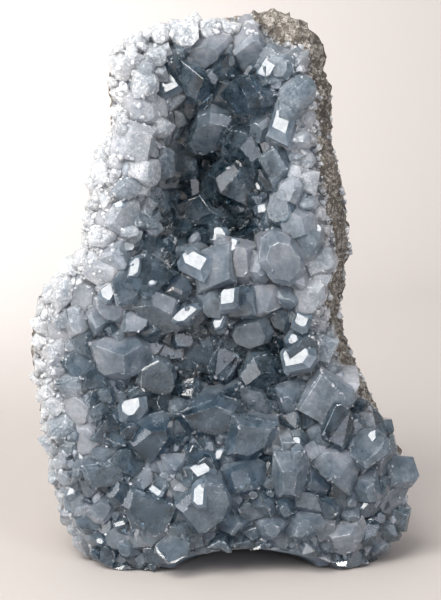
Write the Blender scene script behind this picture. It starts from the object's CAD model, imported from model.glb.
# %% [markdown]
# # A standing celestite cluster
# Celestite lines hollows in limestone. This piece is a broken part of such a hollow's wall: the
# limestone is its back, and the pale blue crystals stand on its front. The solids of the part
# give the rock and the places of the large crystals, so the script starts by loading them.

# %% Load the solids and keep their box
import math

import bmesh
import bpy
import numpy as np
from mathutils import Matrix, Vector
from mathutils.bvhtree import BVHTree


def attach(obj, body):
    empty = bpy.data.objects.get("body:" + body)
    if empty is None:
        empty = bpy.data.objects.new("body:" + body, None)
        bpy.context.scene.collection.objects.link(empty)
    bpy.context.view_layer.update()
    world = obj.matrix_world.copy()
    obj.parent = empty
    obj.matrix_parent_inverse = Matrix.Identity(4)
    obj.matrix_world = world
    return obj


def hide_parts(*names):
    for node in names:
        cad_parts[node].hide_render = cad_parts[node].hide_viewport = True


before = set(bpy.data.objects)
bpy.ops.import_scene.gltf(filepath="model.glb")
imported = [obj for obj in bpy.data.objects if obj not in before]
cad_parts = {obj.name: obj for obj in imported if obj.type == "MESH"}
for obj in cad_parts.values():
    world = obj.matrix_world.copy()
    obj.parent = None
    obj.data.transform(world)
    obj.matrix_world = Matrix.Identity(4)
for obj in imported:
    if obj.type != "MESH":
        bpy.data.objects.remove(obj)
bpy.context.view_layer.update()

MM = 0.001
ROCK_NODE = "limestone_matrix"
CRUST_NODE = "celestite_crystals"

# %% [markdown]
# The camera comes first, because the large crystals are placed by where it sees them. It stands
# 0.7 m away and looks down on the piece by 10 degrees, with a lens long enough to keep the
# upright edges straight, as for a photograph of a mineral.

# %% Camera
EYE_DISTANCE = 0.70
EYE_ELEVATION = math.radians(10)
EYE_AIM = np.array((0.0, 0.0, 0.097))
# Size on the object of one pixel of a picture 600 pixels high
PIXEL = 0.37 * MM
PICTURE_HEIGHT = 600
# Where the lowest point of the front foot lies on the view
VIEW_FOOT = -6 * MM
FOOT_PIXEL = (222, 568)
PICTURE_MIDDLE = (220.5, 300)

ASIDE = np.array((1.0, 0.0, 0.0))
AHEAD = np.array((0.0, math.cos(EYE_ELEVATION), -math.sin(EYE_ELEVATION)))
UPWARD = np.array((0.0, math.sin(EYE_ELEVATION), math.cos(EYE_ELEVATION)))
SKYWARD = np.array((0.0, 0.0, 1.0))

slide_across = (PICTURE_MIDDLE[0] - FOOT_PIXEL[0]) * PIXEL
slide_up = (FOOT_PIXEL[1] - PICTURE_MIDDLE[1]) * PIXEL + VIEW_FOOT - EYE_AIM @ UPWARD
EYE = EYE_AIM - AHEAD * EYE_DISTANCE

camera = bpy.data.objects.new("camera", bpy.data.cameras.new("camera"))
bpy.context.scene.collection.objects.link(camera)
bpy.context.scene.camera = camera
camera.location = EYE + ASIDE * slide_across + UPWARD * slide_up
camera.rotation_euler = (math.radians(90) - EYE_ELEVATION, 0, 0)
camera.data.sensor_fit = "VERTICAL"
camera.data.sensor_height = 24
camera.data.lens = camera.data.sensor_height * EYE_DISTANCE / (PICTURE_HEIGHT * PIXEL)
camera.data.clip_start = 0.01
print("lens in mm", round(camera.data.lens, 1))

# %% [markdown]
# Every shape below is worked out as arrays of points and faces, so one function turns such
# arrays into a mesh. Attributes carry what a material needs to know about a place, such as how
# milky the crystal is there.

# %% From arrays to a piece


def piece(name, points, faces, attributes=None, smooth=False, face_values=None):
    """A mesh object at the origin. faces is a list of index arrays, one row per face."""
    mesh = bpy.data.meshes.new(name)
    mesh.vertices.add(len(points))
    mesh.vertices.foreach_set("co", np.asarray(points, np.float32).ravel())
    corners = np.concatenate([np.asarray(group).ravel() for group in faces])
    sizes = np.concatenate([np.full(len(group), group.shape[1]) for group in faces])
    mesh.loops.add(len(corners))
    mesh.loops.foreach_set("vertex_index", corners.astype(np.int32))
    mesh.polygons.add(len(sizes))
    starts = np.concatenate([[0], np.cumsum(sizes)[:-1]])
    mesh.polygons.foreach_set("loop_start", starts.astype(np.int32))
    mesh.polygons.foreach_set("loop_total", sizes.astype(np.int32))
    mesh.polygons.foreach_set("use_smooth", np.full(len(sizes), smooth))
    for domain, table in (("POINT", attributes), ("FACE", face_values)):
        for key, values in (table or {}).items():
            layer = mesh.attributes.new(key, "FLOAT", domain)
            layer.data.foreach_set("value", np.asarray(values, np.float32).ravel())
    mesh.update(calc_edges=True)
    mesh.validate()
    made = bpy.data.objects.new(name, mesh)
    bpy.context.scene.collection.objects.link(made)
    return made


def turned(turn, lift, roll):
    """Axes for crystals that point at the viewer, then turn right, up and roll, in degrees.

    The last column of each is the crystal's length: (sin turn, -cos turn, 0) tipped up by lift.
    """
    turn, lift, roll = (np.radians(np.asarray(angle, float)) for angle in (turn, lift, roll))
    right = np.stack([np.cos(turn), np.sin(turn), 0 * turn], -1)
    length = np.stack(
        [np.sin(turn) * np.cos(lift), -np.cos(turn) * np.cos(lift), np.sin(lift)], -1
    )
    up = np.cross(length, right)
    c, s = np.cos(roll)[:, None], np.sin(roll)[:, None]
    return np.stack([right * c + up * s, up * c - right * s, length], -1)


def unit(vectors):
    """The same directions at length one."""
    return vectors / np.linalg.norm(vectors, axis=-1)[..., None]


def axes_along(tip, side, roll=0.0):
    """Axes for crystals along tip, with side at right angles to it, after a roll about tip."""
    side = unit(side)
    other = np.cross(tip, side)
    c, s = np.cos(roll), np.sin(roll)
    return np.stack([side * c + other * s, other * c - side * s, tip], -1)


print("one crystal turned to the right points along", turned([90], [0], [0])[0, :, 2].round(3))


# %% [markdown]
# Broken rock, patches of frost and jagged edges all need values that vary at random but without
# jumps. A cubic lattice with a random value at each corner gives them: between the corners the
# values are blended smoothly. It is the same at every run and needs no texture.

# %% Noise on a lattice


def lattice_noise(points, size, seed):
    """Smooth random values between -1 and 1: corner values of a cubic lattice, blended."""
    scaled = points / size
    cell = np.floor(scaled).astype(np.int64)
    f = scaled - cell
    f = f * f * (3 - 2 * f)
    total = np.zeros(len(points))
    for dx in (0, 1):
        for dy in (0, 1):
            for dz in (0, 1):
                h = (cell[:, 0] + dx) * 73856093 ^ (cell[:, 1] + dy) * 19349663
                h = (h ^ (cell[:, 2] + dz) * 83492791 ^ seed * 2654435761) & 0xFFFFFFFF
                h = ((h ^ (h >> 15)) * 2246822519) & 0xFFFFFFFF
                h = ((h ^ (h >> 13)) * 3266489917) & 0xFFFFFFFF
                value = ((h ^ (h >> 16)) & 0xFFFFFF) / float(0x7FFFFF) - 1
                weight = (
                    (f[:, 0] if dx else 1 - f[:, 0])
                    * (f[:, 1] if dy else 1 - f[:, 1])
                    * (f[:, 2] if dz else 1 - f[:, 2])
                )
                total += weight * value
    return total


trial = lattice_noise(np.random.default_rng(0).uniform(0, 1, (1000, 3)), 0.1, 1)
print("noise lies between", trial.min().round(2), "and", trial.max().round(2))

# %% [markdown]
# The rock's front is read once from its solid, as a map of how far back it lies behind each
# point of the front view. With that map, thousands of crystals find their place on the wall
# in one step.

# %% The wall as a map
# How far the map reaches across and up, and where its rays start in front of the piece
MAP_ACROSS = (-0.080, 0.080)
MAP_UP = (-0.004, 0.208)
RAY_START = -0.3


def search_tree(*pieces):
    """One search tree of all faces of these objects."""
    shape = bmesh.new()
    for made in pieces:
        shape.from_mesh(made.data)
    tree = BVHTree.FromBMesh(shape)
    shape.free()
    return tree


def front_map(tree, step=1.0 * MM, missing=6 * MM):
    """The first y that a ray along +Y meets, on a grid of x and z."""
    xs, zs = (np.arange(low, high + step / 2, step) for low, high in (MAP_ACROSS, MAP_UP))
    depth = np.full((len(zs), len(xs)), missing)
    for row, z in enumerate(zs):
        for column, x in enumerate(xs):
            hit = tree.ray_cast(Vector((x, RAY_START, z)), Vector((0, 1, 0)))[0]
            if hit:
                depth[row, column] = hit.y
    return xs, zs, depth


def on_map(table, x, z):
    """The map's value at any place, in a straight line between its points both ways."""
    xs, zs, depth = table
    step = xs[1] - xs[0]
    column = np.clip((x - xs[0]) / step, 0, len(xs) - 1.001)
    row = np.clip((z - zs[0]) / step, 0, len(zs) - 1.001)
    c, r = column.astype(int), row.astype(int)
    fc, fr = column - c, row - r
    low = depth[r, c] * (1 - fc) + depth[r, c + 1] * fc
    high = depth[r + 1, c] * (1 - fc) + depth[r + 1, c + 1] * fc
    return low * (1 - fr) + high * fr


rock_tree, crust_tree = (search_tree(bpy.data.objects[name]) for name in (ROCK_NODE, CRUST_NODE))
ROCK_FRONT = front_map(rock_tree)
near, far = (round(end(ROCK_FRONT[2]) / MM) for end in (np.min, np.max))
print("the rock's front lies between", near, "and", far, "mm")

# %% [markdown]
# A celestite crystal is a block with flat sides and a roof: sloping faces that end in a flat
# top or in a ridge like a chisel. Some of its upright edges are cut off by a further flat side,
# and often a slanted break takes part of the top. Each crystal is a stack of eight-sided rings.
# Opposite edges of two rings are parallel, so every face between them is truly flat, and flat
# faces are what make crystals flash. The edges themselves are never quite sharp: a chamfer of a
# sixth of a millimetre, chipped and white in places, draws the bright lines between the faces.

# %% Crystals from rings

# Share of the width and of the thickness lost on each side, and the slopes' height as a share
# of the smaller side
HABITS = {
    "block": (0.20, 0.18, 0.22),
    "chisel": (0.44, 0.22, 0.52),
    "point": (0.43, 0.40, 0.62),
}
HABIT_NAMES = list(HABITS)
SLOPE_SPREAD = 0.35
ROOT = 9 * MM
CHAMFER = 0.16 * MM
# Nothing reaches lower than this over the surface that the piece stands on, or into the arch
# between its feet, a part of an egg shape with this middle and these half sizes
FLOOR_ROOM = 0.6 * MM
ARCH_CENTRE = (9 * MM, -44 * MM)
ARCH_HALF_SIZES = (33 * MM, 44 * MM, 9.0 * MM)
# Width and height of the jags along its edge
ARCH_JAG = (2.2 * MM, 0.9 * MM)


def lowest(points):
    """How low crystal may reach: the floor's room, raised by the arch's height over its middle
    and by its jagged edge."""
    across = ((points[..., 0] - ARCH_CENTRE[0]) / ARCH_HALF_SIZES[0]) ** 2
    deep = ((points[..., 1] - ARCH_CENTRE[1]) / ARCH_HALF_SIZES[1]) ** 2
    arch = ARCH_HALF_SIZES[2] * np.sqrt(np.clip(1 - across - deep, 0, 1))
    jagged = lattice_noise(points.reshape(-1, 3), ARCH_JAG[0], 91).reshape(arch.shape)
    return FLOOR_ROOM + arch + ARCH_JAG[1] * (1 + jagged) * (arch > 0)


print("habits", *HABITS)

# %% Rings, and the crystals made of them
# The root's width as a share, and the most that slopes take of the rise, that a side moves in
# as a multiple of its habit's share, and that a cut corner takes of a side
TAPER, MOST_FALL, MOST_LOST, MOST_CUT = 0.92, 0.8, 1.1, 0.45


def ring(right, left, top, bottom, cuts, z):
    """Eight points of a rectangle with its four corners cut, at height z: shape (n, 8, 3)."""
    room = MOST_CUT * np.minimum(right - left, top - bottom)
    a, b, c, d = (np.minimum(cuts[:, corner], room) for corner in range(4))
    x = np.stack([right, right - a, left + b, left, left, left + c, right - d, right], 1)
    y = np.stack([top - a, top, top, top - b, bottom + c, bottom, bottom, bottom + d], 1)
    return np.stack([x, y, np.broadcast_to(z[:, None], x.shape)], -1)


def crystal_arrays(
    place, axes, width, thickness, rise, habit, slopes, root, uneven, slant, chamfered, seed
):
    """Points, faces, height along the crystal and edge faces of many crystals at once.

    Ring by ring: the root at -root; just below and just above the shoulder, which lies the
    slopes' height under the rise; and just below and on the top, where each side has moved in by
    its habit's share, more or less by slopes. uneven, from 0 to 1, is how many upright edges
    are cut and how far the section is sheared; slant is how far the top may be tilted. Crystals
    that aren't chamfered have only the rings at the root, the shoulder and the top.
    """
    count = len(place)
    rng = np.random.default_rng(seed)
    shares = np.array([HABITS[HABIT_NAMES[kind]] for kind in habit])
    narrow = np.minimum(width, thickness)
    chamfer = np.minimum(CHAMFER, 0.06 * narrow)
    deep = rng.random((count, 4)) < 0.3 + 0.4 * uneven
    cuts = np.where(deep, narrow[:, None] * rng.uniform(0.10, 0.45, (count, 4)), chamfer[:, None])
    lost = 1 + SLOPE_SPREAD * (1 + uneven) * slopes
    w, t = width / 2, thickness / 2
    lost_w, lost_t = shares[:, 0] * width, shares[:, 1] * thickness
    fall = shares[:, 2] * narrow * rng.uniform(1 - 0.3 * uneven, 1 + 0.7 * uneven, count)
    fall = np.minimum(fall, rise * MOST_FALL)
    shoulder = rise - fall

    def drawn_in(share, cuts, z):
        return ring(
            w - lost_w * np.minimum(lost[:, 0], MOST_LOST) * share,
            lost_w * np.minimum(lost[:, 2], MOST_LOST) * share - w,
            t - lost_t * lost[:, 1] * share,
            lost_t * lost[:, 3] * share - t,
            cuts,
            z,
        )

    low = ring(w * TAPER, -w * TAPER, t * TAPER, -t * TAPER, cuts, np.full(count, -root))
    below = drawn_in(0, cuts, shoulder - chamfer)
    above = drawn_in(chamfer / fall, cuts, shoulder + chamfer)
    high = drawn_in(1.0, cuts * rng.uniform(0.5, 1.2, (count, 1)), rise)
    tilt = slant * rng.uniform(-1, 1, (count, 1, 2))
    reach = np.abs(tilt[..., 0]) * w[:, None] + np.abs(tilt[..., 1]) * t[:, None]
    edge = high - above

    def cut_at(level):
        """Where the rising edges meet the plane z = level + tilt . (x, y)."""
        gap = level + np.sum(tilt * above[..., :2], -1) - above[..., 2]
        steep = edge[..., 2] - np.sum(tilt * edge[..., :2], -1)
        return above + edge * np.clip(gap / steep, 0.05, 1.0)[..., None]

    level = rise[:, None] - 0.6 * reach
    near = cut_at(level - 1.2 * chamfer[:, None])
    top = cut_at(level) - np.array((0.0, 0.0, 0.5)) * chamfer[:, None, None]
    local = np.stack([low, below, above, near, top] if chamfered else [low, above, top], 1)
    rings = local.shape[1]
    height = local[..., 2] / rise[:, None, None]
    local[..., 0] += uneven * rng.uniform(-0.3, 0.3, (count, 1, 1)) * local[..., 1]
    local[..., 0] += uneven * rng.uniform(-0.1, 0.1, (count, 1, 1)) * local[..., 2]
    points = place[:, None, None] + np.einsum("nij,nkrj->nkri", axes, local)
    points[..., 2] = np.maximum(points[..., 2], lowest(points))

    around = np.arange(8)
    after = (around + 1) % 8
    steps = np.arange(rings - 1)[:, None] * 8
    sides = np.stack([steps + around, steps + after, steps + 8 + after, steps + 8 + around], -1)
    top_face = (rings - 1) * 8 + around[None]
    offset = np.arange(count)[:, None, None] * 8 * rings
    groups = (sides.reshape(-1, 4), top_face, around[::-1][None])
    faces = [(group[None] + offset).reshape(-1, group.shape[1]) for group in groups]
    edges = np.zeros((count, rings - 1, 8))
    edges[:, 1::2] = chamfered
    edges[:, ::2, ::2] = ~deep[:, None] & chamfered
    edges = np.concatenate([edges.ravel(), np.zeros(2 * count)])
    return points.reshape(-1, 3), faces, height.ravel(), edges


one_ring = ring(*np.array([[5.0], [-5.0], [4.0], [-4.0]]), np.ones((1, 4)), np.zeros(1))
print("a ring has", one_ring.shape[1], "points, the first at", one_ring[0, 0])

# %% [markdown]
# A flat face that lies half way between the window and the camera mirrors the one into the
# other and turns white. In a real cluster only a few do. Here large faces would do so by chance
# as well, so a crystal with such a face is tipped and rolled a little and tried again. The few
# that should flash get faces of their own further down.

# %% Faces that would mirror the window
WINDOW_PLACE = np.array((-0.40, -0.72, 0.86))
# A face of this size or more, turned within this angle of mirroring the window, flashes
MIRROR_ANGLE = math.radians(14)
MIRROR_AREA = 7 * MM * MM
TRIES = 12
TIP, ROLL = math.radians(7), math.radians(13)
TIPPED = np.eye(3)
TIPPED[1:, 1:] = (math.cos(TIP), -math.sin(TIP)), (math.sin(TIP), math.cos(TIP))
ROLLED = np.eye(3)
ROLLED[:2, :2] = (math.cos(ROLL), -math.sin(ROLL)), (math.sin(ROLL), math.cos(ROLL))


def half_way(places):
    """The direction half way between the window and the camera, which a mirroring face has."""
    return unit(unit(WINDOW_PLACE - places) + unit(np.array(camera.location) - places))


def mirroring(points, faces, count):
    """True for each crystal with a large face that mirrors the window to the camera."""
    found = np.zeros(count, bool)
    for group in faces[:2]:
        corner = points[group]
        step = group.shape[1] // 4
        slant, rise = corner[:, 2 * step] - corner[:, 0], corner[:, 3 * step] - corner[:, step]
        across = np.cross(slant, rise) / 2
        area = np.linalg.norm(across, axis=1)
        normal = across / np.maximum(area, 1e-12)[:, None]
        shines = np.sum(normal * half_way(corner.mean(1)), axis=1) > math.cos(MIRROR_ANGLE)
        found |= (shines & (area > MIRROR_AREA)).reshape(count, -1).any(1)
    return found


def crystals(name, stand, milk, frost, root=ROOT, uneven=0.5, slant=0.2, chamfered=True, seed=1):
    """A piece of many crystals, with how milky and how frosted each is as attributes.

    stand is (place, axes, width, thickness, rise, habit, slopes). Chamfered crystals that
    mirror the window are turned and tried again.
    """
    place, axes, *sizes = stand
    for _ in range(TRIES if chamfered else 1):
        points, faces, height, edges = crystal_arrays(
            place, axes, *sizes, root, uneven, slant, chamfered, seed
        )
        shining = mirroring(points, faces, len(place))
        axes = np.where(shining[:, None, None], axes @ (TIPPED @ ROLLED), axes)
    corners = len(points) // len(milk)
    values = {"along": height, "milk": np.repeat(milk, corners), "frost": np.repeat(frost, corners)}
    return piece(name, points, faces, values, face_values={"edge": edges})


print("the window stands", round(float(np.linalg.norm(WINDOW_PLACE)), 2), "m away")

# %% [markdown]
# The large crystals stand where the front view shows them. Each row of the table gives the place
# across and up on the view, the width, thickness and rise in millimetres, the turn to the right,
# the turn upwards and the roll in degrees, the habit, and how milky it is. A sight line through
# that place meets the wall, and there the crystal has its root.

# %% The large crystals
LARGE = """
# Roof of the hollow
-17 184 12 14 9 10 -22 8 chisel 0.15
-5.5 189.5 16 15 9 0 -20 -10 chisel 0.7
3.7 188.5 6.5 8 10 0 -20 0 point 0.4
10.5 191 14 13 9 5 -14 20 block 0.7
22 185 9 9.5 9 -18 -10 5 block 0.3
-28.5 183.5 10.5 9 7 10 0 -15 chisel 0.5
-21 179.5 6.5 7.5 9 6 -16 4 point 0.3
-29 169.5 17 15 8 9 -6 12 point 0.8
-32 156.5 15.5 14.5 8 12 -8 -18 chisel 0.7
-6.3 162 21.5 14 14 -12 -24 36 block 0.35
6.7 167.5 17 11.5 10 -5 -20 -6 chisel 0.3
0 156 6.5 8.5 11 0 -16 12 chisel 0.1
8.5 154.5 12 16 9 -10 -12 -25 block 0
23.5 166 8.5 10.5 9 -26 -12 -20 chisel 0.3
# Upper walls
19.5 149 9 11.5 11 -34 -18 25 block 0.25
25 140 8.5 9.5 8 -26 0 -12 block 0.7
19 136 8 10.5 8 -34 -10 20 chisel 0
-26.5 143.5 12.5 14 9 26 -8 10 chisel 0.1
-35 140 8.5 9.5 8 30 0 -30 block 0.3
-8 141.5 10.5 10 9 5 -12 22 point 0.15
-19 154.5 9.5 9.5 9 20 -14 35 point 0.2
-14.5 130.5 20 13 9 6 4 -6 block 0.05
6.5 138 13 14 9 -14 -4 15 chisel 0.05
-36 129.5 15 12 9 30 4 14 block 0.7
27 127 13 12 8 -20 4 20 chisel 0.6
-28 119.5 12 11 9 30 10 -24 block 0.1
-37.5 114 11.5 11 9 24 6 32 chisel 0.5
-31.5 111.5 5 6.5 10 14 10 6 chisel 0.4
36 113 11 10 6 -10 0 24 block 0.6
# The bar of large crystals across the middle
-34.5 104 12.5 12.5 11 14 4 8 block 0.35
-42.5 102.5 6.5 7 8 6 8 30 block 0.8
-41.5 95.5 12.5 8.5 8 8 -4 -12 block 0.7
-11.8 114 13 12.5 16 -12 10 16 chisel 0.6
-3 111 15 15 16 -4 2 18 block 0.7
6.5 113 17 17 17 6 8 -12 chisel 0.8
21.8 114.5 17 18 17 8 2 -14 block 0.75
-22.8 96 16 20 14 -4 -18 6 block 0.4
-16.3 103 9.5 10 14 8 4 -28 point 0.4
15.2 98 16 15 15 6 -14 12 point 0.8
-2.2 98 15 10.5 14 0 -12 -6 chisel 0.55
2.6 100 5 5.5 19 8 6 30 point 0.4
-13.3 94.5 6.5 8 17 10 0 36 chisel 0.4
-0.4 91 6 6.5 15 -8 4 -22 point 0.4
11 87 15 12 12 -4 -10 20 block 0.5
32.2 100 11.5 12 8 -12 0 10 block 0.7
29.2 91 7.5 7.5 11 -10 8 34 chisel 0.7
# Middle hollow
29 79 12 14 14 4 -16 14 block 0.2
37.5 80.5 8.5 10.5 8 4 -6 -18 block 0.3
-33.3 77 21 18 14 32 -4 18 chisel 0.55
-52.5 74 12.5 13 7 -12 0 26 block 0.2
-8.2 78.5 18 13.5 10 6 -2 -14 block 0.25
0 67.5 16 11.5 9 -6 -4 18 chisel 0
10.4 72.5 7.5 6 11 10 6 36 chisel 0.1
14.5 79 13 10.5 8 -10 -8 -24 block 0.1
-21 67 12 12 9 16 -6 30 point 0.1
# Lower front
-3.3 55 23.5 14.5 15 0 -12 22 block 0.2
12.2 60 13.5 11.5 13 6 -4 -20 block 0.3
26 61 13 14 11 -4 -6 16 chisel 0.4
39 61.5 17 17 12 6 -10 -32 block 0.55
10.4 47 17 17 15 0 -10 -12 block 0.3
-26 45.5 19.5 22 14 10 -10 -26 chisel 0.1
-33.3 58 8.5 7.5 11 10 12 12 point 0.1
-42.2 50 8.5 9.5 8 10 0 -20 block 0.3
-42.6 34.5 15.5 9.5 11 8 -8 6 block 0.3
-7 38.8 13 9.5 11 0 8 -14 chisel 0.1
27 46 9.5 9.5 12 0 6 10 point 0.2
36 47 12 10.5 11 6 -4 28 point 0.5
54.5 52.5 11.5 11 8 30 0 -8 chisel 0.7
-5.9 23.8 19 17 18 4 -10 27 block 0.35
-27.5 20.5 18 13.5 13 -8 0 -20 block 0.2
9.3 33 16.5 12 12 4 4 10 chisel 0.3
25.5 31.5 13 20.5 15 4 -16 -5 point 0.5
33 32.5 9 14 10 6 -6 20 chisel 0.15
15.5 22.8 12 9.5 13 -2 0 -28 point 0.4
43.5 35.5 17.5 19.5 15 6 -18 10 chisel 0.6
48.8 44 9.5 10 12 12 4 36 point 0.6
61 40 12 12 9 42 4 14 block 0.6
63.5 27 11.5 15.5 8 42 -4 -10 block 0.6
55 28 11.5 12 12 14 -4 26 chisel 0.5
# Along the foot
46.6 10 17 13 12 8 -12 16 chisel 0.8
60 15 10.5 12 8 34 -4 -14 block 0.6
30.7 14.5 13 11 12 0 -6 -8 chisel 0.5
17.8 14 13 10 12 -4 -8 18 point 0.5
4.8 15.5 13 10.5 11 4 -8 -24 point 0.4
-16.3 11.5 15 11.5 11 -6 -8 12 chisel 0.4
38.1 21.5 12 11 9 0 0 30 chisel 0.3
47.5 20 10.5 9 9 6 0 -20 chisel 0.5
-38 11 11 8.5 8 -14 -4 8 block 0.6
# Left shoulder, frosted
-49.5 20.5 10.5 8.5 8 -16 0 22 block 0.8
-49.5 47 10.5 14 6 -14 0 6 block 0.9
-54.5 59 13 12 6 -18 0 -22 block 0.8
-59 87 13 11 5 -18 4 14 block 0.8
-51 100 12.5 12 5 -10 8 -16 block 0.8
"""
CRYSTAL_SEED = 7
CRUST_THICKNESS = 5 * MM
# The view shows a crystal at its listed place this far along its rise
SEEN_AT = 0.7


def seen_at(across, up):
    """Where sight lines meet the crust, by halving the stretch of line 24 times, and the way
    back from there to the viewer."""
    pane = EYE_AIM + across[:, None] * ASIDE + (up + VIEW_FOOT - EYE_AIM @ UPWARD)[:, None] * UPWARD
    near, far = np.full(len(across), 0.8), np.full(len(across), 1.2)
    for _ in range(24):
        middle = (near + far) / 2
        place = EYE + (pane - EYE) * middle[:, None]
        before = place[:, 1] < on_map(ROCK_FRONT, place[:, 0], place[:, 2]) - CRUST_THICKNESS / 2
        near, far = np.where(before, middle, near), np.where(before, far, middle)
    return EYE + (pane - EYE) * near[:, None], unit(EYE - pane)


columns = list(zip(*(row.split() for row in LARGE.splitlines() if row and row[0] != "#")))
across, up, width, thickness, rise = (np.array(column, float) * MM for column in columns[:5])
large_axes = turned(*columns[5:8])
large_habit = np.array([HABIT_NAMES.index(name) for name in columns[8]])
large_milk = np.array(columns[9], float)
large_slopes = np.random.default_rng(CRYSTAL_SEED).uniform(-1, 1, (len(large_milk), 4))
large_place, to_viewer = seen_at(across, up)
large_place += (to_viewer - large_axes[:, :, 2]) * (rise * SEEN_AT)[:, None]
large_size = (width, thickness, rise)
print(len(large_milk), "large crystals, the widest", round(width.max() / MM, 1), "mm")

# %% [markdown]
# Towards the rim of the piece the crystals are small and covered with a fine white growth, like
# frost. How frosted a place is depends on how near it lies to the left, top or right edge.

# %% Where the frost lies
# Left and right edges of the rock on the front view, by height, in millimetres
EDGES = np.array((
    (0, -46, 54), (8, -55, 61), (19, -61, 67), (34, -64, 66), (49, -66.5, 60), (57, -67.5, 54.5),
    (72, -69, 48.5), (87, -68, 44.5), (95, -66, 43.5), (102, -61, 44), (107, -54, 45),
    (117, -49, 46), (132, -46.5, 42.5), (147, -43.5, 40), (160, -37.5, 39.5), (170, -37, 39),
    (177, -39, 37), (185, -36.5, 35.5), (190, -29, 34.5), (194, -15, 31.5), (200, 20, 25),
)) * MM
# How far inside the rims frost ends, by height, and below the top
FROST_LEFT = np.array(((35, 58, 90), (14, 25, 25))) * MM
FROST_RIGHT = np.array(((55, 75), (6, 23))) * MM
FROST_TOP = 9 * MM
TOP = 196 * MM


def edges_at(z):
    """The left and the right edge at this height."""
    return [np.interp(z, EDGES[:, 0], EDGES[:, side]) for side in (1, 2)]


def frost_at(places):
    """1 at the rim, falling to 0 this far inside it, softly."""
    x, z = places[:, 0], places[:, 2]
    left, right = edges_at(z)
    from_left = 1 - (x - left) / np.interp(z, *FROST_LEFT)
    from_right = 1 - (right - x) / np.interp(z, *FROST_RIGHT)
    from_top = 1 - (TOP - z) / FROST_TOP
    share = np.clip(np.maximum.reduce([from_left, from_right, from_top]), 0, 1)
    return share * share * (3 - 2 * share)


# Large crystals carry less of it
LARGE_FROST = 0.6
large_frost = frost_at(large_place) * LARGE_FROST
large_stand = (large_place, large_axes, *large_size, large_habit, large_slopes)
large = crystals("large_crystals", large_stand, large_milk, large_frost, uneven=0.7, slant=0.25)
print(large.name, len(large.data.polygons), "faces")

# %% [markdown]
# Celestite seldom grows as one clean block. Smaller crystals stand in nearly the same direction
# on its sides, so its outline is stepped.

# %% Parallel growth on the large crystals
STEPS_EACH = 2
# How far from the middle they stand, as a share of the crystal's width and thickness
STEP_OFFSET = 0.46


def with_tops(rng, *stand):
    """A stand of crystals, with habits and slopes drawn at random."""
    count = len(stand[0])
    return (*stand, rng.integers(0, 3, count), rng.uniform(-1, 1, (count, 4)))


def parallel_growth():
    """For each large crystal, smaller ones that are set off sideways and turned a few degrees."""
    rng = np.random.default_rng(31)
    w, t, r = (np.repeat(size, STEPS_EACH) for size in large_size)
    place = np.repeat(large_place, STEPS_EACH, axis=0)
    axes = np.repeat(large_axes, STEPS_EACH, axis=0)
    count = len(place)
    share = rng.uniform(0.25, 0.5, count)
    angle = rng.uniform(0, 2 * math.pi, count)
    across = np.cos(angle) * w * STEP_OFFSET
    upward = np.sin(angle) * t * STEP_OFFSET
    place = place + axes[:, :, 0] * across[:, None] + axes[:, :, 1] * upward[:, None]
    tip = unit(axes[:, :, 2] + rng.normal(0, 0.10, (count, 3)))
    axes = axes_along(tip, np.cross(axes[:, :, 1], tip))
    wide, thick = w * share, t * share * rng.uniform(0.8, 1.3, count)
    stand = with_tops(rng, place, axes, wide, thick, r * rng.uniform(0.4, 0.75, count))
    milk = np.clip(np.repeat(large_milk, STEPS_EACH) + rng.uniform(-0.2, 0.2, count), 0, 1)
    return crystals("parallel_growth", stand, milk, frost_at(place) * LARGE_FROST, uneven=0.8, seed=32)


growth = parallel_growth()
print(growth.name, len(growth.data.polygons), "faces")

# %% [markdown]
# Between the large crystals the wall is covered with smaller ones. Random points are spread
# evenly over the rock's triangles, those that the crust covers are kept, and of these only the
# ones that leave each other room. Each point gets a crystal that stands out from the wall and
# leans a little at random.

# %% Points on the wall
# The crust is no thicker than this
CRUST_REACH = 12 * MM


def read(items, key, width=1, kind=float):
    """One property of all items of a mesh as an array, with a row for each item."""
    values = np.empty(len(items) * width, kind)
    items.foreach_get(key, values)
    return values.reshape(-1, width) if width > 1 else values


def surface_points(mesh, count, seed, on_edges=False):
    """Random points on a mesh or on its edge faces, with the direction of its triangles there.

    A triangle is drawn by its area, and a point in it by two numbers folded into it.
    """
    mesh.calc_loop_triangles()
    triangles = read(mesh.loop_triangles, "vertices", 3, int)
    a, b, c = np.moveaxis(read(mesh.vertices, "co", 3)[triangles], 1, 0)
    normal = np.cross(b - a, c - a)
    area = np.linalg.norm(normal, axis=1)
    normal /= np.maximum(area, 1e-15)[:, None]
    if on_edges:
        edge = read(mesh.attributes["edge"].data, "value")
        area = area * edge[read(mesh.loop_triangles, "polygon_index", 1, np.int32)]
    rng = np.random.default_rng(seed)
    picked = rng.choice(len(area), count, p=area / area.sum())
    s, t = rng.uniform(0, 1, (2, count, 1))
    folded = s + t > 1
    s, t = np.where(folded, 1 - s, s), np.where(folded, 1 - t, t)
    return a[picked] + s * (b - a)[picked] + t * (c - a)[picked], normal[picked]


def wall_points(count, seed):
    """Random points on the rock where the crust covers it."""
    points, outward = surface_points(bpy.data.objects[ROCK_NODE].data, count, seed)
    kept = [
        crust_tree.ray_cast(Vector(point), Vector(way), CRUST_REACH)[0] is not None
        for point, way in zip(points + outward * 0.2 * MM, outward)
    ]
    return points[kept], outward[kept]


def with_room(points, room, taken=(), taken_room=()):
    """Indexes of points that keep this far from those before them and from the taken ones.

    Every point is compared with all that are kept so far, held in one array.
    """
    held = np.zeros((len(points) + len(taken), 3))
    reach = np.zeros(len(held))
    count = len(taken)
    if count:
        held[:count], reach[:count] = taken, taken_room
    kept = []
    for index, point in enumerate(points):
        apart = np.sum((held[:count] - point) ** 2, axis=1)
        if count and np.any(apart < np.maximum(reach[:count], room[index]) ** 2):
            continue
        held[count], reach[count] = point, 0
        count += 1
        kept.append(index)
    return np.array(kept)


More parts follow.
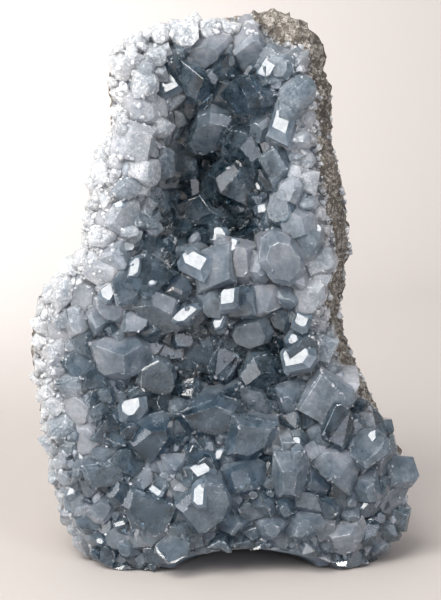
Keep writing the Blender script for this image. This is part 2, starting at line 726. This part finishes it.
def under_large(points, share):
    """True where a point lies inside the column of a large crystal, drawn in by this share."""
    offset = points[:, None] - large_place[None]
    local = np.einsum("nmj,mji->nmi", offset, large_axes)
    w, t, r = large_size
    inside = (
        (np.abs(local[..., 0]) < w * share / 2)
        & (np.abs(local[..., 1]) < t * share / 2)
        & (local[..., 2] > -ROOT)
        & (local[..., 2] < r)
    )
    return inside.any(axis=1)


wall_place, wall_out = wall_points(60000, CRYSTAL_SEED + 1)
print(len(wall_place), "points on the covered wall")

# %% Middle-sized crystals


# Bare strips along the left and right edge by height, and the highest root by place across
LEFT_STRIP = np.array(((0, 80, 105), (4.5, 3.0, 1.0))) * MM
RIGHT_STRIP = np.array(((45, 70, 200), (1.5, 8.5, 8.5))) * MM
TOP_LIMIT = np.array(((-20, 10, 20), (196, 195, 186))) * MM
# How near to these limits the crystals turn to the front, and how unevenly they do
EDGE_REACH = 9 * MM
EDGE_SPREAD = 0.28
WALL_TRIES = 14000
BARE_EDGE = 1.2 * MM
# Between these places along y, crystals grow clear, down to this share of milkiness
CLEAR_DEPTH = np.array((-22, -6)) * MM
CLEAR_SHARE = 0.25


def standing(place, outward, lean, rng):
    """Axes of crystals along the wall's direction, leaning by up to lean, with a random roll."""
    tip = outward + rng.uniform(-1, 1, outward.shape) * math.tan(math.radians(lean))
    near_edge = near_limits(place)
    tip = tip * (1 - 0.7 * near_edge) - AHEAD * (0.35 + 0.6 * near_edge)
    tip = unit(tip + rng.uniform(-EDGE_SPREAD, EDGE_SPREAD, tip.shape) * near_edge)
    side = np.cross(tip, SKYWARD + rng.uniform(-0.3, 0.3, tip.shape))
    return axes_along(tip, side, rng.uniform(0, math.pi, len(place))[:, None])


def room_inside(place):
    """How far a place lies from the bare strips on the left and the right, and from the top."""
    x, z = place[:, 0], place[:, 2]
    left, right = edges_at(z)
    from_left = x - left - np.interp(z, *LEFT_STRIP)
    from_right = right - np.interp(z, *RIGHT_STRIP) - x
    from_top = np.interp(x, *TOP_LIMIT) - z
    return np.minimum.reduce([from_left, from_right, from_top])


def near_limits(place):
    """1 at these limits, falling to 0 inside them, as a column."""
    return np.clip(1 - room_inside(place) / EDGE_REACH, 0, 1)[:, None]


def shallow(place):
    """1 at the front of the piece, falling deep in the hollow, where crystals are clear."""
    return np.interp(place[:, 1], CLEAR_DEPTH, (1.0, CLEAR_SHARE))


def wall_crystals(name, seed, low, high, spacing, lean, lift, share, shrink, taken=(), taken_room=()):
    """Crystals of random size between low and high, spaced by their size, standing on the wall.

    Also returns where they stand and how wide they are.
    """
    rng = np.random.default_rng(seed)
    order = rng.permutation(len(wall_place))[:WALL_TRIES]
    place, outward = wall_place[order], wall_out[order]
    frost = frost_at(place)
    width = low + (high - low) * rng.beta(1.4, 1.9, len(place))
    width *= (1 - shrink * frost) * (1.4 - 0.4 * shallow(place))
    inside = room_inside(place)
    width = np.minimum(width, 3 * MM + 2 * inside)
    free = ~under_large(place + outward * CRUST_THICKNESS, share) & (inside > BARE_EDGE)
    place, outward, frost, width = place[free], outward[free], frost[free], width[free]
    kept = with_room(place, width * spacing, taken, taken_room)
    place, outward, frost, width = place[kept], outward[kept], frost[kept], width[kept]
    count = len(kept)
    stand = with_tops(
        rng,
        place + outward * lift * (1 - 0.6 * near_limits(place)),
        standing(place, outward, lean, rng),
        width,
        width * rng.uniform(0.65, 1.15, count),
        width * rng.uniform(0.45, 0.9, count),
    )
    milk = np.clip((0.08 + 0.72 * rng.beta(0.9, 1.6, count)) * shallow(place) + 0.35 * frost, 0, 1)
    root = width.mean() * 0.9
    made = crystals(name, stand, milk, frost, root=root, uneven=1.0, slant=0.4, seed=seed + 50)
    print(name, count)
    return made, place, width


middle, middle_place, middle_width = wall_crystals(
    "middle_crystals", 21, 7 * MM, 15 * MM, 0.58, 26, 4.2 * MM, 0.92, 0.15
)

# %% Small crystals in what is left free
small, _, _ = wall_crystals(
    "small_crystals", 22, 3.0 * MM, 6.5 * MM, 0.56, 34, 5.4 * MM, 0.9, 0.2,
    middle_place, middle_width * 0.30,
)

# %% [markdown]
# The edges of the crystals are chipped, and the chips stay behind as crumbs and splinters of a
# millimetre or less. They catch the light one by one.

# %% Chips along the edges
# Their smallest width and how much more it may be, how deep they sit, and the size of patches
CHIP_WIDTH, CHIP_MORE, CHIP_SUNK = 0.4 * MM, 1.0 * MM, 0.15 * MM
CHIP_PATCHES = 6 * MM


def spread_over(pieces, seed, on_edges=False):
    """Random points over pieces, as many as is listed with each, and their directions."""
    sets = [surface_points(made.data, share, seed, on_edges) for made, share in pieces]
    return (np.concatenate(arrays) for arrays in zip(*sets))


def grown_on(rng, place, outward, wanted):
    """True for the wanted share of places, if they lie inside the limits and don't look back."""
    return (rng.random(len(place)) < wanted) & (outward[:, 1] < 0.3) & (room_inside(place) > 0)


def edge_chips(chipped):
    """Tiny crystals turned every way, sunk into the edges of the larger ones, in patches."""
    rng = np.random.default_rng(71)
    place, outward = spread_over(chipped, 72, on_edges=True)
    wanted = (0.5 + lattice_noise(place, CHIP_PATCHES, 73)) * shallow(place)
    kept = grown_on(rng, place, outward, wanted)
    place, outward = place[kept], outward[kept]
    count = len(place)
    tip = unit(outward + rng.normal(0, 0.8, (count, 3)))
    axes = axes_along(tip, np.cross(tip, rng.normal(0, 1, (count, 3))))
    width = CHIP_WIDTH + CHIP_MORE * rng.beta(1.2, 2.5, count)
    stand = with_tops(
        rng, place - outward * CHIP_SUNK, axes, width * rng.uniform(1, 1.8, count), width,
        width * rng.uniform(0.25, 0.6, count),
    )
    return crystals(
        "edge_chips", stand, rng.uniform(0, 1, count), frost_at(place), root=0.3 * MM,
        uneven=1.0, slant=0.6, chamfered=False, seed=74,
    )


chips = edge_chips(((large, 3200), (growth, 1600), (middle, 3600)))
print(chips.name, len(chips.data.polygons), "faces")

# %% [markdown]
# Here and there a face lies so that it mirrors the window to the viewer, and flashes white. Such
# a face points half way between the two. Each row gives where the view shows a flash, across
# and up, its width and height in millimetres, and its roll in degrees.

# %% Faces that flash
# How much wider the crystal is than its flat top, and how far it stands out, and more by its width
WIDER = 1.75
EMERGE, EMERGE_MORE = 0.2 * MM, 0.12
FLASH_RISE = 4 * MM
FLASHES = (
    (-5.0, 184.6, 3.7, 4.1, 10), (17.2, 185.7, 3.3, 5.4, -20), (-22.0, 179.1, 5.6, 5.6, 30),
    (22.2, 165.0, 5.2, 8.0, -25), (-32.2, 111.7, 2.8, 4.8, 5), (-42.5, 102.5, 4.8, 5.0, 20),
    (-10.0, 113.6, 7.4, 6.2, -25), (-2.2, 123.2, 5.4, 2.8, 35), (4.1, 119.5, 1.8, 3.4, -15),
    (2.2, 99.9, 4.0, 4.6, 10), (-13.7, 94.3, 6.2, 3.4, 45), (-1.3, 91.4, 2.8, 4.2, -30),
    (26.0, 84.2, 2.4, 3.6, 60), (29.2, 91.4, 3.8, 4.8, -25), (-33.2, 58.8, 6.4, 5.0, 15),
    (28.5, 78.0, 7.6, 5.4, 15), (-1.3, 42.2, 1.8, 3.2, -10), (-38.0, 134.0, 2.6, 2.0, 30),
    (-26.0, 105.4, 2.0, 1.8, -20), (-8.8, 27.6, 3.4, 6.2, 10), (-8.1, 36.6, 5.0, 4.6, 30),
    (-24.3, 28.5, 3.8, 2.0, -35), (27.4, 46.6, 2.2, 2.6, 0), (55.7, 48.7, 2.8, 2.8, 20),
)


def flashing_crystals(shown):
    """Crystals whose flat tops just show over what the sight lines meet first."""
    rows = np.array(FLASHES)
    tree = search_tree(*shown)
    first = []
    for place, way in zip(*seen_at(rows[:, 0] * MM, rows[:, 1] * MM)):
        hit = tree.ray_cast(Vector(place + way * 0.1), -Vector(way), 0.3)[0]
        first.append(hit if hit else Vector(place))
    first = np.array(first)
    tip = half_way(first)
    axes = axes_along(tip, np.cross(SKYWARD, tip), np.radians(rows[:, 4])[:, None])
    count = len(rows)
    rise = np.full(count, FLASH_RISE)
    wide, high = rows[:, 2] * MM, rows[:, 3] * MM
    stand = (
        first - tip * (rise - EMERGE - EMERGE_MORE * wide)[:, None], axes, wide * WIDER, high * WIDER,
        rise, np.zeros(count, int), np.random.default_rng(5).uniform(-1, 1, (count, 4)),
    )
    return crystals(
        "flashing_crystals", stand, np.full(count, 0.2), np.zeros(count),
        root=3 * MM, uneven=1.0, slant=0.0, chamfered=False, seed=6,
    )


flashes = flashing_crystals((large, growth, middle, small))
print(flashes.name, len(FLASHES), "crystals")

# %% [markdown]
# Under them lies the crust itself, one even layer of celestite on the limestone. It shows only
# as dark blue between the crystals, so a sheet over the wall's map is enough.

# %% The crust's bed
# Where the sheet starts and ends across, as shares of half the width, and upwards
BED_ACROSS = (-0.94, 0.93)
BED_UP = (1.2 * MM, 184 * MM)
# and where it ends on the right, by height
BED_RIGHT = ((0, 0.045, 0.07, 0.2), (0.93, 0.93, 0.80, 0.77))
# Thickness deep in the hollow, how much more it is at the front, and what is left at the sides
BED_DEEP, BED_MORE, BED_SIDE = 4.4 * MM, 1.4 * MM, 0.4 * MM


def crust_bed():
    """A sheet in front of the rock by its thickness, over a grid of width share and height."""
    u, z = np.meshgrid(np.linspace(*BED_ACROSS, 150), np.linspace(*BED_UP, 200))
    left, right = edges_at(z)
    u = np.where(u > 0, u * (np.interp(z, *BED_RIGHT) / BED_ACROSS[1]), u)
    x = (left + right) / 2 + u * (right - left) / 2
    front = on_map(ROCK_FRONT, x.ravel(), z.ravel()).reshape(x.shape)
    forward = np.interp(front, CLEAR_DEPTH, (1.0, 0.0))
    y = front - (BED_DEEP + BED_MORE * forward) * (1 - np.abs(u) ** 5) - BED_SIDE
    points = np.stack([x, y, z], -1).reshape(-1, 3)
    rows, cols = x.shape
    corner = (np.arange(rows - 1)[:, None] * cols + np.arange(cols - 1)).reshape(-1)
    quads = np.stack([corner, corner + 1, corner + cols + 1, corner + cols], -1)
    pale = np.maximum(frost_at(points), 0.22 * forward.ravel())
    return piece("crust_bed", points, [quads], {"frost": pale}, smooth=True)


bed = crust_bed()
print(bed.name, len(bed.data.polygons), "faces")

# %% [markdown]
# Limestone that has broken out of a cliff is rough at every scale: lumps of a centimetre,
# crumbs of a few millimetres, and grains. The solid has the large lumps. A copy of it is
# remeshed finely and moved in and out by noise for the rest, and stays flat where it was sawn.

# %% The rock
ROCK_VOXEL = 1.15 * MM
# The sawn base ends this high, and over the next stretch the roughness sets in
SAWN_HEIGHT, SAWN_BLEND = 0.8 * MM, 2 * MM
# Size and height of each scale of roughness
ROCK_ROUGHNESS = ((9 * MM, 1.4 * MM), (4.2 * MM, 1.2 * MM), (2.3 * MM, 0.8 * MM))


def rough_rock():
    """The rock's solid, remeshed and roughened along its own directions, flat at the base."""
    source = bpy.data.objects[ROCK_NODE]
    shape = bmesh.new()
    shape.from_mesh(source.data)
    bmesh.ops.remove_doubles(shape, verts=shape.verts, dist=1e-6)
    mesh = bpy.data.meshes.new("limestone")
    shape.to_mesh(mesh)
    shape.free()
    rock = bpy.data.objects.new("limestone", mesh)
    bpy.context.scene.collection.objects.link(rock)
    remesh = rock.modifiers.new("Remesh", "REMESH")
    remesh.mode = "VOXEL"
    remesh.voxel_size = ROCK_VOXEL
    bpy.context.view_layer.update()
    fine = bpy.data.meshes.new_from_object(rock.evaluated_get(bpy.context.evaluated_depsgraph_get()))
    rock.modifiers.clear()
    rock.data = fine
    points, normals = read(fine.vertices, "co", 3), read(fine.vertices, "normal", 3)
    shift = np.zeros(len(points))
    for seed, (size, height) in enumerate(ROCK_ROUGHNESS):
        grain = lattice_noise(points, size, seed + 11)
        shift += height * (1 - 2.6 * np.abs(grain)) if seed else height * grain
    above_saw = np.clip((points[:, 2] - SAWN_HEIGHT) / SAWN_BLEND, 0, 1)
    covered = np.clip(room_inside(points) / (2 * MM) + 1.5, 0, 1) * (normals[:, 1] < 0.1)
    shift = shift * (1 - 0.9 * covered) - 0.5 * MM * covered
    points = points + normals * (shift * above_saw)[:, None]
    fine.vertices.foreach_set("co", points.ravel())
    layer = fine.attributes.new("covered", "FLOAT", "POINT")
    layer.data.foreach_set("value", covered * np.clip(-3 * normals[:, 1], 0, 1))
    fine.polygons.foreach_set("use_smooth", np.ones(len(fine.polygons), bool))
    fine.update()
    return rock


rock = rough_rock()
print(rock.name, len(rock.data.polygons), "faces")

# %% [markdown]
# The frost along the rims is a second growth: tiny crystals that settled on the faces of the
# larger ones. They are spread over those faces in the same way, thickly where the frost is and
# in a few patches elsewhere.

# %% Second growth
# The band of tiny crystals on the rock, measured like room_inside
BAND_MIDDLE = -1.5 * MM
BAND_HALF = 3.5 * MM
# and it thins out over this distance behind the rock's front
BAND_DEPTH = 9 * MM
# Widths of the tiny crystals in mm, from the first to the sum, and the size of patches
TINY = (0.7, 2.3)
TINY_PATCHES = 9 * MM


def second_growth(first_growth, bare, bare_count):
    """Tiny crystals on the faces of the larger ones, as many as the frost there asks for, and on
    the bare rock in a band beside them."""
    rng = np.random.default_rng(61)
    place, outward = spread_over(first_growth, 62)
    frost = frost_at(place)
    patches = np.clip(2 * lattice_noise(place, TINY_PATCHES, 63) - 0.9, 0, 0.35)
    wanted = 0.95 * np.clip(frost - 0.25, 0, 1) + patches * (place[:, 1] < CLEAR_DEPTH.mean())
    kept = grown_on(rng, place, outward, wanted)
    on_rock, rock_out = surface_points(bare.data, bare_count, 65)
    beside = 1.3 * (1 - np.abs(room_inside(on_rock) - BAND_MIDDLE) / BAND_HALF)
    left, right = edges_at(on_rock[:, 2])
    inward = np.clip(on_rock[:, 0], left + BAND_HALF, right - BAND_HALF)
    behind = on_rock[:, 1] - on_map(ROCK_FRONT, inward, on_rock[:, 2])
    # Far from the band both shares are negative, so a few crystals stand alone on the rock there
    band = (rng.random(bare_count) < beside * (1 - behind / BAND_DEPTH)) & (rock_out[:, 1] < -0.25)
    place = np.concatenate([place[kept], on_rock[band]])
    outward = np.concatenate([outward[kept], rock_out[band]])
    frost = np.concatenate([frost[kept], rng.uniform(0.4, 0.9, band.sum())])
    count = len(place)
    width = (TINY[0] + TINY[1] * rng.beta(1, 2.8, count)) * MM * (0.6 + 0.5 * frost)
    stand = with_tops(
        rng, place, standing(place, outward, 30, rng), width, width * rng.uniform(0.7, 1.1, count),
        width * rng.uniform(0.35, 0.8, count),
    )
    milk = rng.uniform(0, 0.5, count) + 0.4 * frost
    return crystals(
        "second_growth", stand, milk, frost, root=0.6 * MM,
        uneven=1.0, slant=0.4, chamfered=False, seed=64,
    )


druse = second_growth(((large, 9000), (middle, 16000), (small, 9000)), rock, 40000)
print(druse.name, len(druse.data.polygons), "faces")

# %% [markdown]
# A material is a set of nodes. One helper adds a node with its settings and links, and one
# turns a colour as it is written for screens into the linear light that Blender mixes.

# %% Helpers for materials


def linear(colour):
    """A hex colour such as #8a97a6 as linear red, green and blue with full alpha."""
    values = [int(colour[k:k + 2], 16) / 255 for k in (1, 3, 5)]
    return tuple(v / 12.92 if v < 0.04045 else ((v + 0.055) / 1.055) ** 2.4 for v in values) + (1,)


def add(tree, kind, *first, give=0, **others):
    """Adds a node of this kind and gives back one of its outputs.

    first is what its first sockets get, in their order: numbers, hex colours or outputs of other
    nodes. others are further sockets, by name or by _ and place, and the node's own settings,
    whose names start with a small letter.
    """
    node = tree.nodes.new("ShaderNode" + kind)
    sockets = dict(enumerate(first))
    for key, value in others.items():
        if key[0].islower():
            setattr(node, key, value)
        else:
            sockets[int(key[1:]) if key[0] == "_" else key.replace("_", " ")] = value
    for key, value in sockets.items():
        if isinstance(value, bpy.types.NodeSocket):
            tree.links.new(value, node.inputs[key])
        else:
            node.inputs[key].default_value = linear(value) if isinstance(value, str) else value
    return node.outputs[give] if node.outputs else None


def new_material(name):
    """A material whose tree is empty."""
    made = bpy.data.materials.new(name)
    made.use_nodes = True
    made.node_tree.nodes.clear()
    return made, made.node_tree


# Settings of nodes that are used often: sums kept between 0 and 1, and a mix of two colours
SUM = {"operation": "ADD", "use_clamp": True}
PRODUCT = {"operation": "MULTIPLY", "use_clamp": True}
LARGER = {"operation": "MAXIMUM", "use_clamp": True}
COLOURS = {"data_type": "RGBA", "give": 2}
print("mid grey #808080 is", round(linear("#808080")[0], 3), "in linear light")

# %% [markdown]
# Celestite is strontium sulfate, a soft clear mineral that bends light more than window glass
# does, with a refractive index of 1.62. This crystal is grey-blue because of slight impurities,
# so light that goes further through it comes out bluer, which the absorption in its volume
# does. Clouds of tiny bubbles make parts of it milky, most of all towards the root, and there
# light scatters under the surface. Frost is a last growth of tiny crystals, each turned its own
# way, so its grains turn the surface's direction at random and sparkle.

# %% Clear to milky celestite
CELESTITE_IOR = 1.62
# Colour and density
ABSORPTION = ("#7094b0", 45)
# Size of the clouds inside the crystals, of the patches where tiny crystals grew on them last,
# and of those tiny crystals, drawn coarser than the finest of them so that they show
CLOUD_SIZE = 7 * MM
PATCH_SIZE = 9 * MM
SPARK_SIZE = 0.6 * MM
# Size of the chips along the edges
CHIP_SIZE = 1.6 * MM
# Distance between cracks, which follow flat planes, as celestite splits easily along them
CRACK_SIZE = 5 * MM
# Size and height of the faint waves of a grown face
WAVE_SIZE = 3 * MM
WAVE_HEIGHT = 0.12 * MM


def sparkling_normal(tree, where, amount):
    """The face's direction, turned at random in each grain, by amount, and a number per grain."""
    grain = add(tree, "TexVoronoi", where, Scale=1 / SPARK_SIZE, give="Color")
    turn = add(tree, "VectorMath", grain, (0.5, 0.5, 0.5), operation="SUBTRACT")
    turn = add(tree, "VectorMath", turn, Scale=amount, operation="SCALE")
    straight = add(tree, "NewGeometry", give="Normal")
    turned_off = add(tree, "VectorMath", straight, turn, operation="ADD")
    normal = add(tree, "VectorMath", turned_off, operation="NORMALIZE")
    return normal, add(tree, "SeparateColor", grain)


def milkiness_of(tree, cloud, chips):
    """The crystal's own milkiness, more or less by its clouds, towards its root and by mottling."""
    milk = add(tree, "Attribute", attribute_name="milk", give="Fac")
    along = add(tree, "Attribute", attribute_name="along", give="Fac")
    # Values, their ranges, and what those become
    spans = (cloud, 0.3, 0.7, -0.24, 0.24), (along, 0.1, 0.8, 0.35, 0), (chips, 0.3, 0.7, -0.09, 0.09)
    for span in spans:
        milk = add(tree, "Math", milk, add(tree, "MapRange", *span), **SUM)
    return milk


def whiteness_of(tree, dusty, frost, grain, chips, cloud, where):
    """How white the surface is: by its dust's patches and grains, frost, chipped edges, cracks."""
    edge = add(tree, "Attribute", attribute_name="edge", give="Fac")
    flat = {"feature": "DISTANCE_TO_EDGE", "give": "Distance"}
    gap = add(tree, "TexVoronoi", where, Scale=1 / CRACK_SIZE, **flat)
    inside = add(tree, "MapRange", cloud, 0.54, 0.66)
    # How much there is of it, the range of a value that turns white, and how that joins the rest
    layers = (
        (dusty, (chips, 0.44, 0.70, 0, 0.4), SUM),
        (dusty, (grain, 0.72, 0.9, 0, 0.35), SUM),
        (1, (frost, 0, 1, 0, 0.6), SUM),
        (edge, (chips, 0.50, 0.64, 0, 0.6), LARGER),
        (inside, (gap, 0, 0.035, 0.25, 0), LARGER),
    )
    white = 0
    for share, span, joined in layers:
        layer = add(tree, "Math", share, add(tree, "MapRange", *span), **PRODUCT)
        white = add(tree, "Math", white, layer, **joined)
    return white


def celestite(name, clear, milky, frosted, transmission, roughness, dust, glow):
    """Glassy crystal from clear to milky, white where it is frosted, chipped or cracked.

    transmission and roughness are pairs, for clear and for milky crystal. dust is how strong
    the patches of tiny grains are, and glow how far light wanders under the surface.
    """
    material, tree = new_material(name)
    where = add(tree, "TexCoord", give="Object")
    cloud = add(tree, "TexNoise", where, Scale=1 / CLOUD_SIZE, Detail=6, Roughness=0.68)
    patch = add(tree, "TexNoise", where, Scale=1 / PATCH_SIZE, Detail=2)
    chips = add(tree, "TexNoise", where, Scale=1 / CHIP_SIZE, Detail=4, Roughness=0.65)
    waves = add(tree, "TexNoise", where, Scale=1 / WAVE_SIZE, Detail=4)
    frost = add(tree, "Attribute", attribute_name="frost", give="Fac")
    dusty = add(tree, "Math", add(tree, "MapRange", patch, 0.64, 0.76, 0, dust), frost, **SUM)
    normal, grain = sparkling_normal(tree, where, add(tree, "MapRange", dusty, 0, 1, 0, 0.5))
    milk = milkiness_of(tree, cloud, chips)
    white = whiteness_of(tree, dusty, frost, grain, chips, cloud, where)
    body = add(tree, "Mix", milk, _6=clear, _7=milky, **COLOURS)
    colour = add(tree, "Mix", white, _6=body, _7=frosted, **COLOURS)
    passing = add(tree, "MapRange", milk, 0, 1, *transmission)
    unfrosted = add(tree, "MapRange", white, 0, 1, 1, 0.25)
    matt = add(tree, "MapRange", milk, 0, 1, *roughness)
    matt_white = add(tree, "MapRange", white, 0, 1, 0, 0.2)
    shader = add(
        tree, "BsdfPrincipled", colour, IOR=CELESTITE_IOR,
        Normal=add(tree, "Bump", Height=waves, Strength=0.35, Distance=WAVE_HEIGHT, Normal=normal),
        Transmission_Weight=add(tree, "Math", passing, unfrosted, **PRODUCT),
        Roughness=add(tree, "Math", matt, matt_white, **SUM),
        Subsurface_Weight=1, Subsurface_Radius=(1, 1, 1), Subsurface_Scale=glow,
    )
    add(tree, "OutputMaterial", shader, add(tree, "VolumeAbsorption", *ABSORPTION))
    return material


# Light wanders deep in the large crystals, and less deep in the tiny ones, which are whiter.
# The faces that flash are clean, so that they mirror the window well.
MILKY = "#babfc8"
clear_celestite = celestite(
    "clear_celestite", "#7fa0b4", MILKY, "#e9eaec", (0.98, 0.55), (0.02, 0.10), 0.22, 6 * MM
)
fine_celestite = celestite(
    "fine_celestite", "#859eb0", MILKY, "#edeeef", (0.92, 0.48), (0.03, 0.12), 0.3, 1.5 * MM
)
clean_celestite = celestite(
    "clean_celestite", "#8aa0b0", "#adb5c0", "#dcdfe3", (0.8, 0.3), (0.03, 0.10), 0, 2 * MM
)
bed_material, bed_tree = new_material("celestite_crust")
bed_frost = add(bed_tree, "Attribute", attribute_name="frost", give="Fac")
bed_colour = add(bed_tree, "Mix", bed_frost, _6="#3c5060", _7="#a0a8b2", **COLOURS)
bed_shader = add(bed_tree, "BsdfPrincipled", bed_colour, Roughness=0.35, IOR=CELESTITE_IOR)
add(bed_tree, "OutputMaterial", bed_shader)
print("materials", clear_celestite.name, fine_celestite.name, clean_celestite.name, bed_material.name)

# %% [markdown]
# The limestone is grey-brown and granular. Grains of half a millimetre to two millimetres are
# lighter or darker than their neighbours, and pits between them are darker. It is matt, and
# where crystals cover it, it takes their blue-grey, because it shows through them.

# %% Weathered limestone
PATCHES = 14 * MM
GRAIN = 1.3 * MM
PITS = 0.5 * MM
GRAIN_HEIGHT = 0.4 * MM


def weathered_limestone():
    """Patches of two browns, speckled by grains and pitted, under the blue-grey of the crust."""
    material, tree = new_material("weathered_limestone")
    where = add(tree, "TexCoord", give="Object")
    patches = add(tree, "TexNoise", where, Scale=1 / PATCHES, Detail=4)
    fine = add(tree, "TexNoise", where, Scale=1 / PITS, Detail=3)
    tint, far = (
        add(tree, "TexVoronoi", where, Scale=1 / GRAIN, give=part) for part in ("Color", "Distance")
    )
    patchy = add(tree, "MapRange", patches, 0.35, 0.65)
    speckle = add(tree, "MapRange", add(tree, "SeparateColor", tint), 0.35, 1, 0, 0.75)
    pit = add(tree, "MapRange", fine, 0.38, 0.52, 0.8, 0)
    covered = add(tree, "Attribute", attribute_name="covered", give="Fac")
    colour = "#4e4943"
    layers = (patchy, "#6e675e"), (speckle, "#bbb6ae"), (pit, "#302c28"), (covered, "#5d6c79")
    for share, over in layers:
        colour = add(tree, "Mix", share, _6=colour, _7=over, **COLOURS)
    height = add(tree, "Math", fine, far, operation="ADD")
    bump = add(tree, "Bump", Height=height, Strength=0.6, Distance=GRAIN_HEIGHT)
    add(tree, "OutputMaterial", add(tree, "BsdfPrincipled", colour, Roughness=0.9, Normal=bump))
    return material


limestone = weathered_limestone()
print("material", limestone.name)

# %% Pieces get their materials and ride on the part
for crystal_piece in (large, growth, middle):
    crystal_piece.data.materials.append(clear_celestite)
for crystal_piece in (small, druse, chips):
    crystal_piece.data.materials.append(fine_celestite)
flashes.data.materials.append(clean_celestite)
bed.data.materials.append(bed_material)
rock.data.materials.append(limestone)
crust_pieces = (bed, large, growth, middle, small, druse, chips, flashes)
for made in (*crust_pieces, rock):
    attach(made, "root")
    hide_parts(ROCK_NODE if made is rock else CRUST_NODE)
print(len(crust_pieces), "pieces for the crust and one for the rock")

# %% [markdown]
# The piece stands on a pale paper sweep that curves up behind it. A large soft window light
# comes from the upper left, and the room's own light fills the rest.

# %% Backdrop
# Its bend's radius, where that starts, its front end, its top and half its width, in metres
BEND, BACK, FRONT_END, WALL_TOP, HALF_WIDTH = 0.35, 0.55, -1.6, 2.2, 2.2


def sweep():
    """A profile in y and z carried along x: the floor, a quarter circle, then the wall."""
    bend = np.linspace(0, math.pi / 2, 24)
    y = np.concatenate([[FRONT_END], BACK + BEND * np.sin(bend), [BACK + BEND]])
    z = np.concatenate([[0.0], BEND * (1 - np.cos(bend)), [WALL_TOP]])
    xs = np.linspace(-HALF_WIDTH, HALF_WIDTH, 5)
    points = np.array([(x, b, c) for x in xs for b, c in zip(y, z)])
    rows, cols = len(xs), len(y)
    corner = (np.arange(rows - 1)[:, None] * cols + np.arange(cols - 1)).reshape(-1)
    quads = np.stack([corner, corner + cols, corner + cols + 1, corner + 1], -1)
    return piece("sweep", points, [quads], smooth=True)


backdrop = sweep()
paper, paper_tree = new_material("pale_paper")
add(paper_tree, "OutputMaterial", add(paper_tree, "BsdfPrincipled", "#b6b0ac", Roughness=0.8))
backdrop.data.materials.append(paper)
print(backdrop.name, [round(side, 2) for side in backdrop.dimensions], "m")

# %% Light


def area_light(name, place, aim, size, watts, colour):
    """A square lamp at a place, turned to shine at aim."""
    lamp = bpy.data.lights.new(name, "AREA")
    lamp.size = size
    lamp.energy = watts
    lamp.color = linear(colour)[:3]
    made = bpy.data.objects.new(name, lamp)
    made.location = place
    made.rotation_euler = (Vector(aim) - Vector(place)).to_track_quat("-Z", "Y").to_euler()
    bpy.context.scene.collection.objects.link(made)
    return made


AIM = (0, 0, 0.1)
# Name, place, aim, width in metres, power in watts and colour
LAMPS = (
    ("window", WINDOW_PLACE, AIM, 0.7, 18.5, "#fffcf8"),
    ("side", (-1.1, -0.5, 0.35), AIM, 0.8, 7, "#fdfcff"),
    ("room", (0.6, -1.2, 0.45), AIM, 0.9, 6.5, "#f2f3ff"),
    ("top", (-0.2, 0.25, 1.2), AIM, 0.7, 3, "#ffffff"),
    ("glint", (0.45, -0.85, 0.95), AIM, 0.14, 1.6, "#ffffff"),
    ("wall", (-0.45, 0.50, 0.40), (-0.25, 0.90, 0.10), 0.35, 4.5, "#fafcff"),
)
for lamp_row in LAMPS:
    area_light(*lamp_row)
world = bpy.data.worlds.new("room")
world.use_nodes = True
background = world.node_tree.nodes["Background"]
background.inputs["Color"].default_value = linear("#eceaea")
background.inputs["Strength"].default_value = 0.43
bpy.context.scene.world = world
bpy.context.scene.view_settings.view_transform = "Standard"
print(len(LAMPS), "lamps")
